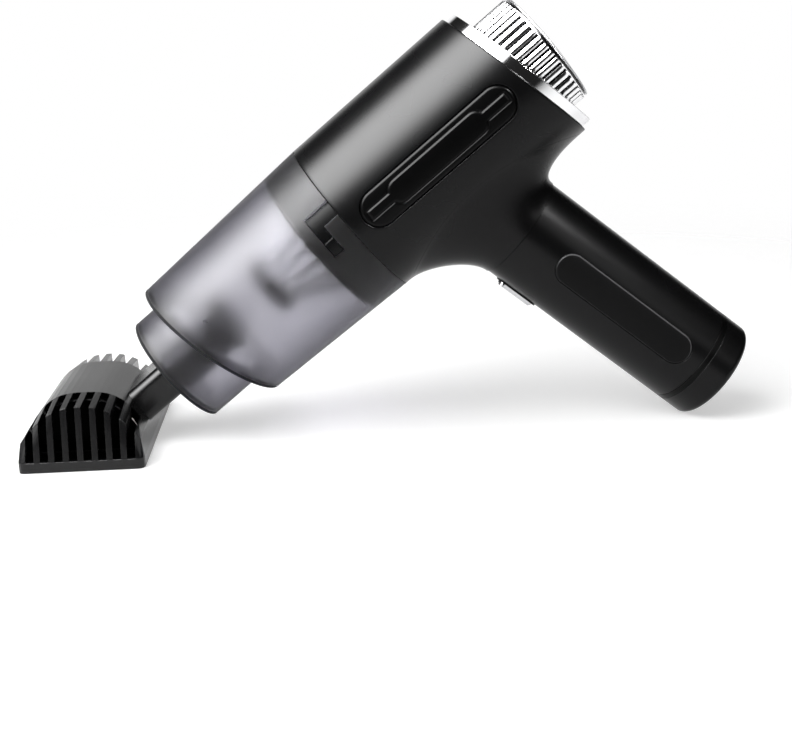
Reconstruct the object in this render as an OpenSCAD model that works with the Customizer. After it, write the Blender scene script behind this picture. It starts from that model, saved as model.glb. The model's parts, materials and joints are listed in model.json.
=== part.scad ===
// Cordless hand vacuum shaped like a gun, standing on its claw nozzle and the end of its handle.
// Frame: +Z up, millimetres, origin on the floor under the middle of the whole.
// Most pieces are drawn in the barrel's frame (X to the rear along the barrel, Y across,
// Z square to the barrel) or in the handle's frame (X to the front, Z down the handle).

/* [Barrel] */
// Slant of the barrel's two end faces
end_slant = 12.5; // [4:0.5:15]
// Outer diameter of the barrel
barrel_d = 68; // [66:0.5:76]
// Length of the body on the axis, from the cup joint to the slanted rear end
body_len = 84; // [82:1:96]
// Wall of the body
body_wall = 2.4; // [2:0.1:2.8]
// Length of the panels let into the barrel's sides
inlay_len = 72; // [50:1:74]
// Width of the panels let into the barrel's sides
inlay_w = 15; // [12:0.5:17]
// Length of the raised island on each panel
island_len = 45; // [30:1:48]
// Width of the raised island on each panel
island_w = 8.4; // [6:0.2:10]

/* [Rear end] */
// Step from the body in to the chrome trim ring
ring_in = 1.5; // [0:0.1:2]
// Thickness of the trim ring behind the body
ring_t = 4; // [3:0.5:6]
// Diameter of the finned exhaust crown
crown_d = 48.5; // [44:0.5:52]
// Height of the crown's rim behind the slanted end, on the axis
crown_rise = 16; // [14:0.5:22]
// Number of fins round the crown
fin_count = 44; // [30:2:52]
// Width of the slot between two fins
fin_slot = 1.7; // [1.2:0.1:2]
// Bulge of the crown's domed top
dome_rise = 2.5; // [1.5:0.5:5]

/* [Handle] */
// Wall of the handle
handle_wall = 2.4; // [2:0.1:2.6]
// Room inside the handle, from the seam down to the battery holder
top_room = 17.4; // [16:0.2:24]
// Distance on the axis from the rear end back to the handle's axis
handle_back = 46.7; // [44:0.1:50]
// Lean of the handle to the rear
handle_rake = 12.5; // [8:0.5:14]
// Length from the barrel's axis to the seam between neck and handle
neck_len = 48; // [47:0.5:52]
// Length of the handle's end cap
cap_len = 11.5; // [11:0.5:16]
// Width of the ring between handle and end cap
band_w = 2.5; // [2:0.5:4]
// Length of the pads let into the handle's sides
pad_len = 66; // [40:1:66]
// Width of the pads let into the handle's sides
pad_w = 13; // [8:0.5:13]

/* [Trigger] */
// Length of the trigger button
button_len = 16.6; // [14:0.2:18]
// Width of the trigger button
button_w = 5; // [4:0.2:6]
// Height of the button above the handle
button_proud = 2; // [1.8:0.1:3]
// Travel of the button
button_travel = 1.5; // [1:0.1:1.6]
// Distance from the handle's seam to the button's middle
button_drop = 15.3; // [14:0.1:18]

/* [Dust cup] */
// Length of the cup on the axis, from the body to its slanted front
cup_len = 74; // [72:1:90]
// Draft of the cup: how much its radius falls from back to front
cup_draft = 2.3; // [0.5:0.1:4]
// Wall of the cup
cup_wall = 2.2; // [1.8:0.1:2.6]
// Diameter of the collar on the cup's front
inlet_d = 48; // [44:0.5:52]
// Reach of the collar past the cup's slanted front, on the axis
inlet_reach = 19.5; // [16:0.5:22]
// Turn that frees the cup
cup_turn = 20; // [16:1:24]

/* [Nozzle] */
// Length of the nozzle's mouth, along the gun
mouth_len = 48; // [44:0.5:54]
// Width of the nozzle's mouth, across the gun
mouth_w = 86; // [76:1:96]
// Height of the nozzle's hood
hood_h = 25.5; // [23:0.5:30]
// Wall of the nozzle
hood_wall = 2.2; // [1.8:0.1:2.6]
// Number of slots in each comb
slot_count = 8; // [6:1:8]
// Width of one slot in the combs
slot_w = 3.2; // [2.4:0.1:3.4]
// Height of the solid lip below the slots
lip_h = 4; // [3:0.5:6]
// Reach of the nozzle from the cup's collar to the floor, along the barrel's axis
neck_reach = 43.5; // [40:0.1:48]
// Width of the flat tool plug, across the gun
plug_w = 28; // [24:0.5:30]
// Thickness of the flat tool plug
plug_t = 12.5; // [11:0.5:14]
// Wall of the tool plug
plug_wall = 1.7; // [1.4:0.1:2]

/* [Motor and fan] */
// Diameter of the motor
motor_d = 35.8; // [32:0.2:38]
// Length of the motor
motor_len = 34; // [30:1:36]
// Diameter of the motor's shaft
shaft_d = 3; // [2.5:0.1:4]
// Gap round the impeller
tip_gap = 1.5; // [1:0.1:3]
// Width of the impeller
impeller_w = 8; // [6:0.5:8]
// Number of impeller blades
blade_count = 9; // [6:1:12]

/* [Battery and charging] */
// Diameter of one battery cell
cell_d = 18.3; // [14:0.1:18.4]
// Length of one battery cell
cell_len = 65; // [50:0.5:65]
// Gap between the cells and the handle's inside
cell_play = 0.35; // [0.2:0.05:1]
// Bore of the charging socket
jack_bore = 3.6; // [3.5:0.1:5.6]

/* [Fits] */
// Gap of a fixed fit, all round
fit = 0.1; // [0.05:0.01:0.15]
// Gap beside a piece that slides or turns
slide_gap = 0.3; // [0.25:0.05:0.35]
// Running gap of a shaft or pin in its bearing
run_gap = 0.05; // [0.03:0.01:0.08]

/* [Hidden] */
$fn = 160;

black = "#18181a";
satin = "#222225";
chrome = "#d9dade";
steel = "#9ea1a6";
smoke = "#7d7f8a";
rubber = "#2b2b2d";
big = 400;
// Length by which a cut runs past what it cuts
over = 1;

// Barrel
barrel_r = barrel_d / 2;
bore_r = barrel_r - body_wall;
slant_rise = barrel_r * tan(end_slant);
inlay_sink = 1.4;
inlay_seat = barrel_r - inlay_sink;
inlay_mid = body_len / 2;
reveal = 0.15;
rib_w = 3;
land = 0.1;
panel_sink = 0.4;

// Stack of rings in the body's front, each seated on the one behind it
collar_in = 10;
shroud_t = 2.2;
fan_gap = 1.2;
mount_t = 4;
ledge_t = 5;
fan_u = collar_in + shroud_t + fan_gap;
mount_u = fan_u + impeller_w + fan_gap;
ledge_u = mount_u + mount_t;
ledge_w = 4.6;
ledge_r = bore_r - ledge_w;
impeller_r = ledge_r - tip_gap;
seat_r = bore_r - fit;
stack_in = 3;
stack_r = seat_r - stack_in;
stack_angles = [60, 180, 300];
screw_r = 1.25;
screw_head_r = 1.9;
screw_head_t = 1.5;
screw_clear = 0.15;

// Motor
motor_r = motor_d / 2;
gasket_t = 1.5;
motor_u = ledge_u + gasket_t;
motor_end = motor_u + motor_len;
motor_hole_r = 6;
can_wall = 1.4;
bearing_r = 4;
bearing_t = 3;
shaft_r = shaft_d / 2;
motor_screw_r = 11;
motor_screw_len = 8;

// Rear end
crown_r = crown_d / 2;
crown_wall = 3.4;
crown_top = body_len + crown_rise;
rim_t = 2;
flange_t = 2.5;
ring_spigot = 4;
fin_root = 0.8;
ring_r = barrel_r - ring_in;
flange_back = 9;
flange_u = body_len - slant_rise - flange_back;
cap_edge = 0.8;

// Battery, and the handle that is sized round it
cell_r = cell_d / 2;
cell_gap = 0.3;
cell_y = cell_r + cell_gap / 2;
holder_t = 2.6;
holder_gap = 0.4;
holder_top = neck_len + top_room;
cell_top = holder_top + holder_t;
cell_end = cell_top + cell_len;
holder_low = cell_end + holder_t;
rail_x = 4;
rail_y = 5;
tube_r = cell_y + cell_r + cell_play;
handle_r = tube_r + handle_wall;
band_z = holder_low + holder_gap;
cap_z = band_z + band_w;
handle_len = cap_z + cap_len;
neck_step = 0.4;
neck_r = handle_r + neck_step;
spigot_step = 0.3;
neck_bore = tube_r - spigot_step;
spigot_r = neck_bore - fit;
spigot_wall = 2;
spigot_in = 12;
handle_u = body_len - handle_back;
seam = 0.2;
shoulder = 3.5;
pad_sink = 1.3;
pad_seat = handle_r - pad_sink;
pad_drop = 5.3;
pad_z = (neck_len + band_z) / 2 + pad_drop;
cap_round = 2.5;
cap_wall = 2.2;

// Trigger and what lies behind it
button_z = neck_len + button_drop;
bezel_rim = 1.2;
bezel_proud = 0.6;
button_lip = 0.8;
button_seat = sqrt(tube_r * tube_r - pow(button_w / 2 + button_lip, 2)) - slide_gap;
flange_x = 1;
plunger_r = 1;
plunger_len = 4;
plunger_z = button_z - button_len / 4;
switch_x = 3.8;
switch_z = 7;
switch_y = 6;
switch_top = button_seat - flange_x - plunger_len + 1.2;
switch_floor = 0.6;
board_t = 1.6;
board_w = 16;
board_top = 24;

// Charging socket
jack_wall = 2.4;
jack_r = jack_bore / 2 + jack_wall;
jack_lip = 1.5;
jack_lip_t = 2;
jack_len = 10;
jack_pin_r = jack_bore / 6;

// Dust cup and its bayonet
collar_r = seat_r;
collar_out = 15;
collar_wall = 5.4;
collar_flange = 2.6;
cup_bore = collar_r + slide_gap;
lug_setback = 7;
lug_len = 4;
lug_u = -lug_setback - lug_len;
lug_rise = 1.9;
lug_half = 5;
lug_angles = [90, 270];
lug_gap = 0.4;
lug_gap_deg = 1;
seal_in = 2;
seal_u = -collar_out + seal_in;
seal_r = 0.5;
skirt_gap = 2;
skirt = collar_out + skirt_gap;
cup_front_r = barrel_r - cup_draft;
inlet_r = inlet_d / 2;
inlet_u = -cup_len - inlet_reach;

// Tool socket, its flap and the flap's hinge
sleeve_wall = 1.6;
corner_r = 3;
sleeve_in = 8;
sleeve_end = -cup_len + sleeve_in;
sleeve_y = plug_w / 2 + fit + sleeve_wall;
sleeve_z = plug_t / 2 + fit + sleeve_wall;
flap_t = 1.5;
flap_u = sleeve_end + slide_gap;
flap_pin_r = 0.9;
knuckle_r = 2;
ear_t = 2;
hinge_u = flap_u + flap_t / 2;
knuckle_gap = 0.4;
hinge_z = sleeve_z + knuckle_r + knuckle_gap;
ear_back = 6;
ear_drop = 2;
flap_y = sleeve_y - slide_gap;

// Filter
filter_lip = 2;
filter_lip_in = 1.5;
filter_frame_len = 10;
filter_land = 3;
filter_back = -collar_out - filter_lip;
filter_r = collar_r - collar_wall - fit;
pleat_r = filter_r - filter_land;
pleat_len = 23;
pleat_count = 20;
pleat_depth = 3.2;
pleat_paper = 1.2;
filter_front_r = 11;
filter_cap_t = 6.5;
filter_cap_lip = 0.6;

// Stance: the handle's rounded end and the nozzle's lip both touch the floor, which sets the tilt.
// The barrel's axis meets the floor at floor_u, and the cap's rim has a rounded edge.
floor_u = inlet_u - neck_reach;
cap_arm = handle_len - cap_round;
cap_rim = handle_r - cap_round;
run_x = handle_u - floor_u + cap_arm * sin(handle_rake) - cap_rim * cos(handle_rake);
run_z = cap_arm * cos(handle_rake) + cap_rim * sin(handle_rake);
barrel_tilt = atan2(run_z, run_x) + asin(cap_round / sqrt(run_x * run_x + run_z * run_z));
lean_all = barrel_tilt + handle_rake;
lift = -floor_u * sin(barrel_tilt);
hood_back = floor_u * cos(barrel_tilt);
x_low = hood_back - mouth_len / 2;
x_high = handle_u * cos(barrel_tilt) + cap_arm * sin(lean_all) + cap_rim * cos(lean_all) + cap_round;
shift_x = -(x_low + x_high) / 2;
hood_x = shift_x + hood_back;

// Nozzle
mouth_x = mouth_len / 2;
mouth_y = mouth_w / 2;
arch_base = 11;
top_full = 3;
side_full = 2.3;
shoulder_drop = 1;
shoulder_in = 1.2;
comb_in = 20;
comb_y = mouth_y - comb_in;
lean = 3.5;
lip_round = 2.5;
baffle_y = comb_y + 3;
baffle_t = 1.6;
baffle_up = 1.5;
baffle_sink = 0.6;
end_bar = 3.2;
bar_pitch = (mouth_len - 2 * end_bar - slot_w) / (slot_count - 1);
arch_steps = 16;
neck_grow = 0.9;

// Neck blend
foot_sink = 0.25;
foot_margin = 1.2;
foot_angle = 56;
foot_front = foot_margin;
foot_rear = body_len + slant_rise - foot_margin;
foot_mid = handle_u + barrel_r * tan(handle_rake);
blend_reach = 8;
blend_sides = 72;
blend_rings = 9;

// Placing

module in_stance() {
    translate([shift_x, 0, lift]) rotate([0, -barrel_tilt, 0]) children();
}

module in_handle() {
    in_stance() handle_frame() children();
}

module handle_frame() {
    translate([handle_u, 0, 0]) rotate([0, 180 - handle_rake, 0]) children();
}

// Shapes used again and again

// Solid of revolution along the barrel, from u0 over a length
module rod(u0, len, r1, r2) {
    translate([u0, 0, 0]) rotate([0, 90, 0]) cylinder(h = len, r1 = r1, r2 = is_undef(r2) ? r1 : r2);
}

// Part of a ring round the barrel's axis, with angles from the underside towards +Y
module ring_sector(r0, r1, u0, len, a0, a1) {
    translate([u0, 0, 0]) rotate([0, 90, 0]) rotate([0, 0, a0])
        rotate_extrude(angle = a1 - a0) translate([r0, 0]) square([r1 - r0, len]);
}

// Everything in front of a slanted plane that crosses the axis at u0
module ahead_of(u0) {
    translate([u0, 0, 0]) rotate([0, -end_slant, 0])
        translate([-big, -big / 2, -big / 2]) cube(big);
}

// Everything behind that plane
module behind(u0) {
    translate([u0, 0, 0]) rotate([0, -end_slant, 0])
        translate([0, -big / 2, -big / 2]) cube(big);
}

// Flat stadium outline: length along X
module stadium(len, w) {
    square([len - w, w], center = true);
    for (s = [-1, 1]) translate([s * (len - w) / 2, 0]) circle(d = w);
}

// Rectangle with round corners
module round_rect(x, y, r) {
    square([x - 2 * r, y], center = true);
    square([x, y - 2 * r], center = true);
    for (i = [-1, 1], j = [-1, 1]) translate([i * (x / 2 - r), j * (y / 2 - r)]) circle(r = r);
}

// Flat duct along the barrel: across Y, thick along Z
module duct(u0, len, y, z, r) {
    translate([u0, 0, 0]) rotate([0, 90, 0]) linear_extrude(len) round_rect(z, y, r);
}

// Stadium standing square to the barrel's side, from y0 outwards
module side_block(side, len, w, y0) {
    translate([inlay_mid, side * y0, 0]) rotate([-side * 90, 0, 0])
        linear_extrude(big / 10) stadium(len, w);
}

// Stadium standing square to the handle's side, from y0 outwards
module grip_block(side, len, w, y0) {
    translate([0, side * y0, pad_z]) rotate([-side * 90, 0, 0]) rotate([0, 0, 90])
        linear_extrude(big / 10) stadium(len, w);
}

// Stadium standing on the handle's front at the trigger, from x0 over a depth
module trigger_block(len, w, x0, depth) {
    translate([x0, 0, button_z]) rotate([0, 90, 0]) linear_extrude(depth) stadium(len, w);
}

// Neck blend: each rib is a cubic curve from the handle's seam up to the barrel, tangent to both

function unit(v) = v / norm(v);
handle_dir = [sin(handle_rake), 0, -cos(handle_rake)];
handle_rear = [cos(handle_rake), 0, sin(handle_rake)];
function seam_point(a) = [handle_u, 0, 0] + neck_len * handle_dir
    + neck_r * (cos(a) * handle_rear + sin(a) * [0, 1, 0]);
function foot_u(a) = foot_mid + (cos(a) > 0 ? foot_rear - foot_mid : foot_mid - foot_front) * cos(a);
function on_barrel(u, q, r) = [u, r * sin(q), -r * cos(q)];
function foot_point(a) = on_barrel(foot_u(a), foot_angle * sin(a), barrel_r - foot_sink);
function foot_slope(a) = unit(on_barrel(foot_u(a) + cos(a), foot_angle * sin(a) + 2 * sin(a), barrel_r)
    - on_barrel(foot_u(a), foot_angle * sin(a), barrel_r));
function cubic(p, q, r, s, t) = pow(1 - t, 3) * p + 3 * pow(1 - t, 2) * t * q
    + 3 * (1 - t) * t * t * r + t * t * t * s;
function blend_point(a, t) = cubic(seam_point(a), seam_point(a) - blend_reach * handle_dir,
    foot_point(a) - blend_reach * foot_slope(a), foot_point(a), t);

// Closed solid of the blend: seam disc, ribs, then a smaller ring and a point inside the barrel
module neck_blend() {
    core = [foot_mid, 0, -barrel_r / 3];
    ring_a = [for (j = [0:blend_sides - 1]) 360 * j / blend_sides];
    ribs = [for (i = [0:blend_rings]) for (a = ring_a) blend_point(a, i / blend_rings)];
    inner = [for (a = ring_a) core + 0.6 * (foot_point(a) - core)];
    points = concat(ribs, inner, [core, [handle_u, 0, 0] + neck_len * handle_dir]);
    n = blend_sides;
    last = blend_rings + 1;
    skin = [for (i = [0:last - 1]) for (j = [0:n - 1])
        let (k = (j + 1) % n)
        for (f = [[i * n + j, (i + 1) * n + k, i * n + k], [i * n + j, (i + 1) * n + j, (i + 1) * n + k]]) f];
    top = [for (j = [0:n - 1]) [last * n + (j + 1) % n, last * n + j, (last + 1) * n]];
    seam_disc = [for (j = [0:n - 1]) [j, (j + 1) % n, (last + 1) * n + 1]];
    polyhedron(points, concat(skin, top, seam_disc));
}

// Body

module body_shell() {
    color(black) in_stance() difference() {
        union() {
            intersection() {
                rod(0, body_len + slant_rise + 1, barrel_r);
                ahead_of(body_len);
            }
            neck_blend();
        }
        rod(-1, ledge_u + 1, bore_r);
        rod(ledge_u - 1, ledge_t + 2, ledge_r);
        rod(ledge_u + ledge_t, big, bore_r);
        handle_frame() cylinder(h = big, r = neck_bore);
        for (a = stack_angles) stack_hole(a, ledge_u - 1, ledge_t + 2, screw_r);
        for (side = [-1, 1]) side_block(side, inlay_len, inlay_w, inlay_seat);
    }
}

// Round hole parallel to the barrel at one of the stack's screw places
module stack_hole(a, u0, len, r) {
    rotate([a, 0, 0]) translate([0, 0, -stack_r]) rod(u0, len, r);
}

// Panel let into the barrel's side: a thin base, a raised island and a rib to each end
module side_inlay(side) {
    color(satin) in_stance() {
        intersection() {
            side_block(side, inlay_len - 2 * reveal, inlay_w - 2 * reveal, inlay_seat);
            rod(0, big, barrel_r - panel_sink);
        }
        intersection() {
            union() {
                side_block(side, island_len, island_w, inlay_seat);
                side_block(side, inlay_len - 2 * reveal - inlay_w / 2, rib_w, inlay_seat);
            }
            rod(0, big, barrel_r - land);
        }
    }
}

module side_inlay_left() { side_inlay(-1); }
module side_inlay_right() { side_inlay(1); }

// Chrome ring on the slanted rear end, with a spigot in the body's bore
module rear_ring() {
    color(chrome) in_stance() difference() {
        union() {
            intersection() {
                rod(0, big, ring_r);
                behind(body_len);
                ahead_of(body_len + ring_t);
            }
            intersection() {
                rod(0, big, seat_r);
                behind(body_len - ring_spigot);
                ahead_of(body_len + ring_t / 2);
            }
        }
        rod(0, big, crown_r + fit);
    }
}

// Finned exhaust crown, with a flange that seats in the body's bore
module exhaust_crown() {
    color(chrome) in_stance() difference() {
        union() {
            rod(flange_u, crown_top - rim_t - flange_u, crown_r);
            rod(flange_u, flange_t, seat_r);
        }
        rod(0, big, crown_r - crown_wall);
        intersection() {
            for (i = [0:fin_count - 1]) rotate([360 * i / fin_count, 0, 0])
                translate([0, -fin_slot / 2, crown_r - crown_wall + fin_root])
                    cube([crown_top - rim_t - fin_root, fin_slot, crown_wall]);
            behind(body_len + ring_t + fin_root);
        }
        intersection() {
            for (i = [0:fin_count - 1]) rotate([360 * i / fin_count, 0, 0])
                translate([0, -fin_slot / 4, 0])
                    cube([crown_top - rim_t - 2 * fin_root, fin_slot / 2, crown_r]);
            behind(body_len + ring_t + 2 * fin_root);
        }
    }
}

// Domed top of the crown: a rim disc with a shallow spherical cap, and a ring that plugs in
module crown_cap() {
    dome_r = (crown_r * crown_r + dome_rise * dome_rise) / (2 * dome_rise);
    plug_r = crown_r - crown_wall - fit;
    color(chrome) in_stance() translate([crown_top - rim_t, 0, 0]) rotate([0, 90, 0]) rotate_extrude() {
        square([crown_r, rim_t]);
        intersection() {
            translate([0, rim_t + dome_rise - dome_r]) circle(r = dome_r);
            translate([0, rim_t / 2]) square([crown_r - cap_edge, big]);
        }
        translate([plug_r - 2, -2]) square([2, 3]);
    }
}

// Handle

module handle_tube() {
    color(black) in_handle() difference() {
        union() {
            translate([0, 0, neck_len + seam]) cylinder(h = band_z - neck_len - seam, r = handle_r);
            translate([0, 0, neck_len - spigot_in]) cylinder(h = spigot_in + 1, r = spigot_r);
        }
        translate([0, 0, neck_len + shoulder]) cylinder(h = big, r = tube_r);
        cylinder(h = big, r = spigot_r - spigot_wall);
        trigger_block(button_len + 2 * slide_gap, button_w + 2 * slide_gap, 0, big);
        trigger_block(button_len + 2 * bezel_rim + 2 * fit, button_w + 2 * bezel_rim + 2 * fit,
            handle_r - bezel_rim, big);
        for (side = [-1, 1]) grip_block(side, pad_len, pad_w, pad_seat);
    }
}

module grip_pad(side) {
    color(rubber) in_handle() intersection() {
        grip_block(side, pad_len - 2 * reveal, pad_w - 2 * reveal, pad_seat);
        cylinder(h = big, r = handle_r - land);
    }
}

module grip_pad_left() { grip_pad(-1); }
module grip_pad_right() { grip_pad(1); }

// Narrow ring between the handle and its end cap, with a groove on each side
module end_band() {
    color(satin) in_handle() translate([0, 0, band_z]) difference() {
        union() {
            translate([0, 0, seam]) cylinder(h = band_w - 2 * seam, r = handle_r);
            cylinder(h = band_w, r = handle_r - handle_wall / 2);
        }
        translate([0, 0, -1]) cylinder(h = band_w + 2, r = tube_r - fit);
    }
}

module end_cap() {
    color(black) in_handle() difference() {
        translate([0, 0, cap_z]) rotate_extrude() difference() {
            union() {
                square([handle_r, cap_len - cap_round]);
                square([handle_r - cap_round, cap_len]);
                translate([handle_r - cap_round, cap_len - cap_round]) circle(r = cap_round);
            }
            square([tube_r, cap_len - cap_wall]);
        }
        cylinder(h = big, r = jack_r + fit);
    }
}

// Charging socket through the end cap: a flanged barrel with a centre pin
module charging_socket() {
    out = handle_len - jack_len;
    color(satin) in_handle() {
        difference() {
            union() {
                translate([0, 0, out]) cylinder(h = jack_len, r = jack_r);
                translate([0, 0, handle_len - cap_wall - jack_lip_t]) cylinder(h = jack_lip_t, r = jack_r + jack_lip);
            }
            translate([0, 0, out + 1.5]) cylinder(h = jack_len, r = jack_bore / 2);
        }
        translate([0, 0, out + 1]) cylinder(h = jack_len - 2, r = jack_pin_r);
    }
}

// Trigger

// Pill-shaped button with a raised thumb end and a flange that keeps it in the handle
module trigger_button() {
    outer = handle_r + button_proud;
    color(chrome) in_handle() {
        trigger_block(button_len, button_w, button_seat, outer - button_seat - 0.6);
        trigger_block(button_len - 1.2, button_w - 1.2, button_seat, outer - button_seat);
        trigger_block(button_len + 2 * button_lip, button_w + 2 * button_lip, button_seat - flange_x, flange_x);
    }
}

module trigger_bezel() {
    color(satin) in_handle() difference() {
        intersection() {
            trigger_block(button_len + 2 * bezel_rim, button_w + 2 * bezel_rim, handle_r - bezel_rim, big);
            cylinder(h = big, r = handle_r + bezel_proud);
        }
        trigger_block(button_len + 2 * slide_gap, button_w + 2 * slide_gap, 0, big);
    }
}

module switch_plunger() {
    color(rubber) in_handle() translate([button_seat - flange_x - plunger_len, 0, plunger_z])
        rotate([0, 90, 0]) cylinder(h = plunger_len, r = plunger_r);
}

module power_switch() {
    color(satin) in_handle() difference() {
        translate([switch_top - switch_x, -switch_y / 2, plunger_z - switch_z / 2])
            cube([switch_x, switch_y, switch_z]);
        translate([switch_top - switch_x + switch_floor, 0, plunger_z]) rotate([0, 90, 0])
            cylinder(h = switch_x, r = plunger_r + slide_gap);
    }
}

module control_board() {
    color("#1f4a33") in_handle()
        translate([switch_top - switch_x - board_t, -board_w / 2, holder_top - board_top])
            cube([board_t, board_w, board_top]);
}

// Battery

module battery_cell(side) {
    color("#3a5f8a") in_handle() translate([0, side * cell_y, cell_top]) {
        cylinder(h = cell_len, r = cell_r - 0.8);
        translate([0, 0, 0.8]) cylinder(h = cell_len - 1.6, r = cell_r);
    }
}

module battery_cell_left() { battery_cell(-1); }
module battery_cell_right() { battery_cell(1); }

// Two end plates joined by one rail behind the cells, cut away in front for the trigger
module battery_holder() {
    plate_r = tube_r - fit;
    notch_x = switch_top - switch_x - board_t;
    color(satin) in_handle() difference() {
        union() {
            for (z = [holder_top, cell_end]) translate([0, 0, z]) cylinder(h = holder_t, r = plate_r);
            intersection() {
                translate([-plate_r, -rail_y / 2, holder_top + 1]) cube([rail_x, rail_y, cell_len + holder_t]);
                cylinder(h = big, r = plate_r);
            }
        }
        translate([notch_x + board_t + 0.5, -big / 2, holder_top - 1]) cube([big, big, holder_t + 2]);
    }
}

// Motor and fan

module motor_can() {
    color(steel) in_stance() difference() {
        rod(motor_u, motor_len, motor_r);
        rod(motor_u + can_wall, motor_len - 2 * can_wall, motor_r - can_wall);
        rod(motor_u - 1, motor_len + 2, bearing_r);
        for (s = [-1, 1]) translate([0, s * motor_screw_r, 0]) rod(motor_u - 1, can_wall + 2, screw_r);
    }
}

module motor_bearing(u0) {
    color("#b08d57") in_stance() difference() {
        union() {
            rod(u0, bearing_t, bearing_r - 0.02);
            rod(u0 + can_wall, bearing_t - can_wall, bearing_r + 1);
        }
        rod(u0 - 1, bearing_t + 2, shaft_r + run_gap);
    }
}

module front_bearing() { motor_bearing(motor_u); }

module rear_bearing() {
    color("#b08d57") in_stance() difference() {
        union() {
            rod(motor_end - bearing_t, bearing_t, bearing_r - 0.02);
            rod(motor_end - bearing_t, bearing_t - can_wall, bearing_r + 1);
        }
        rod(motor_end - bearing_t - 1, bearing_t + 2, shaft_r + run_gap);
    }
}

module motor_shaft() {
    color(steel) in_stance() {
        rod(fan_u - 1, motor_end - fan_u + 2, shaft_r);
        rod(motor_u + bearing_t + 1, motor_len - 2 * bearing_t - 2, motor_r - can_wall - 4);
    }
}

// Backplate, hub and curved blades
module impeller() {
    plate_t = 1.2;
    hub_r = 5;
    blade_t = 1;
    blade_r = impeller_r * 0.7;
    color("#c9c9c6") in_stance() difference() {
        union() {
            rod(fan_u + impeller_w - plate_t, plate_t, impeller_r);
            rod(fan_u, impeller_w, hub_r);
            translate([fan_u, 0, 0]) rotate([0, 90, 0]) linear_extrude(impeller_w - plate_t / 2)
                for (i = [0:blade_count - 1]) rotate(360 * i / blade_count) intersection() {
                    translate([impeller_r * 0.55, blade_r * 0.85]) difference() {
                        circle(r = blade_r + blade_t / 2);
                        circle(r = blade_r - blade_t / 2);
                    }
                    difference() {
                        circle(r = impeller_r - 0.3);
                        circle(r = hub_r + 3);
                    }
                    translate([0, -impeller_r]) square([impeller_r, 2 * impeller_r]);
                }
        }
        rod(fan_u - 1, impeller_w + 2, shaft_r + 0.02);
    }
}

// Front plate of the fan with its inlet, and a rim that stands on the motor mount
module fan_shroud() {
    color(satin) in_stance() difference() {
        rod(collar_in, mount_u - collar_in, seat_r);
        rod(collar_in + shroud_t, mount_u, ledge_r);
        rod(collar_in - over, shroud_t + 2 * over, impeller_r / 2);
        for (a = stack_angles) stack_hole(a, collar_in - 1, mount_u, screw_r + screw_clear);
    }
}

// Plate that carries the motor, with air ports round it
module motor_mount() {
    port_r = (motor_r + ledge_r) / 2;
    color(satin) in_stance() difference() {
        rod(mount_u, mount_t, seat_r);
        rod(mount_u - 1, mount_t + 2, motor_hole_r);
        for (a = stack_angles) stack_hole(a, mount_u - 1, mount_t + 2, screw_r + screw_clear);
        for (s = [-1, 1]) translate([0, s * motor_screw_r, 0]) {
            rod(mount_u - 1, mount_t + 2, screw_r + screw_clear);
            rod(mount_u - 1, screw_head_t + 1.3, screw_head_r + screw_clear);
        }
        for (i = [0:7]) rotate([45 * i + 22.5, 0, 0]) translate([0, 0, port_r])
            rod(mount_u - 1, mount_t + 2, 2.6);
    }
}

module motor_gasket() {
    color(rubber) in_stance() difference() {
        rod(ledge_u, gasket_t, motor_r);
        rod(ledge_u - 1, gasket_t + 2, motor_hole_r);
        for (s = [-1, 1]) translate([0, s * motor_screw_r, 0])
            rod(ledge_u - 1, gasket_t + 2, screw_r + screw_clear);
    }
}

module screw(u0, len) {
    rod(u0, screw_head_t, screw_head_r);
    rod(u0, len, screw_r - 0.02);
}

module motor_screws() {
    color(steel) in_stance() for (s = [-1, 1]) translate([0, s * motor_screw_r, 0])
        screw(mount_u + 0.3, motor_screw_len);
}

module stack_screws() {
    head_u = collar_in - flange_t - screw_head_t;
    color(steel) in_stance() for (a = stack_angles) rotate([a, 0, 0]) translate([0, 0, -stack_r])
        screw(head_u, ledge_u + ledge_t - head_u);
}

// Front collar: bayonet lugs outside, filter seat inside
module front_collar() {
    color(black) in_stance() difference() {
        union() {
            rod(-collar_out, collar_out + collar_in, collar_r);
            for (a = lug_angles)
                ring_sector(collar_r - 1, collar_r + lug_rise, lug_u, lug_len, a - lug_half, a + lug_half);
        }
        rod(-collar_out - 1, collar_out + collar_in - flange_t + 1, collar_r - collar_wall);
        rod(0, big, ledge_r - collar_flange);
        for (a = stack_angles) {
            stack_hole(a, 0, big, screw_r + screw_clear);
            stack_hole(a, -big, big + collar_in - flange_t, screw_head_r + screw_clear);
        }
        translate([seal_u, 0, 0]) rotate([0, 90, 0]) rotate_extrude()
            translate([cup_bore - run_gap - 2 * seal_r, -seal_r]) square([2 * seal_r + 1, 2 * seal_r]);
    }
}

module cup_seal() {
    color(rubber) in_stance() translate([seal_u, 0, 0]) rotate([0, 90, 0]) rotate_extrude()
        translate([cup_bore - run_gap - seal_r, 0]) circle(r = seal_r - 0.02);
}

// Filter

module filter_frame() {
    color(satin) in_stance() difference() {
        union() {
            rod(filter_back, filter_lip - fit, collar_r - filter_lip_in);
            rod(filter_back, filter_frame_len, filter_r);
        }
        rod(filter_back - over, filter_frame_len + 2 * over, pleat_r - pleat_depth - pleat_paper);
        rod(filter_back - over, filter_lip + over, pleat_r + fit);
    }
}

function star(r, depth) = [for (i = [0:2 * pleat_count - 1])
    let (q = i % 2 == 0 ? r : r - depth, a = 180 * i / pleat_count) [q * cos(a), q * sin(a)]];

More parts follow.
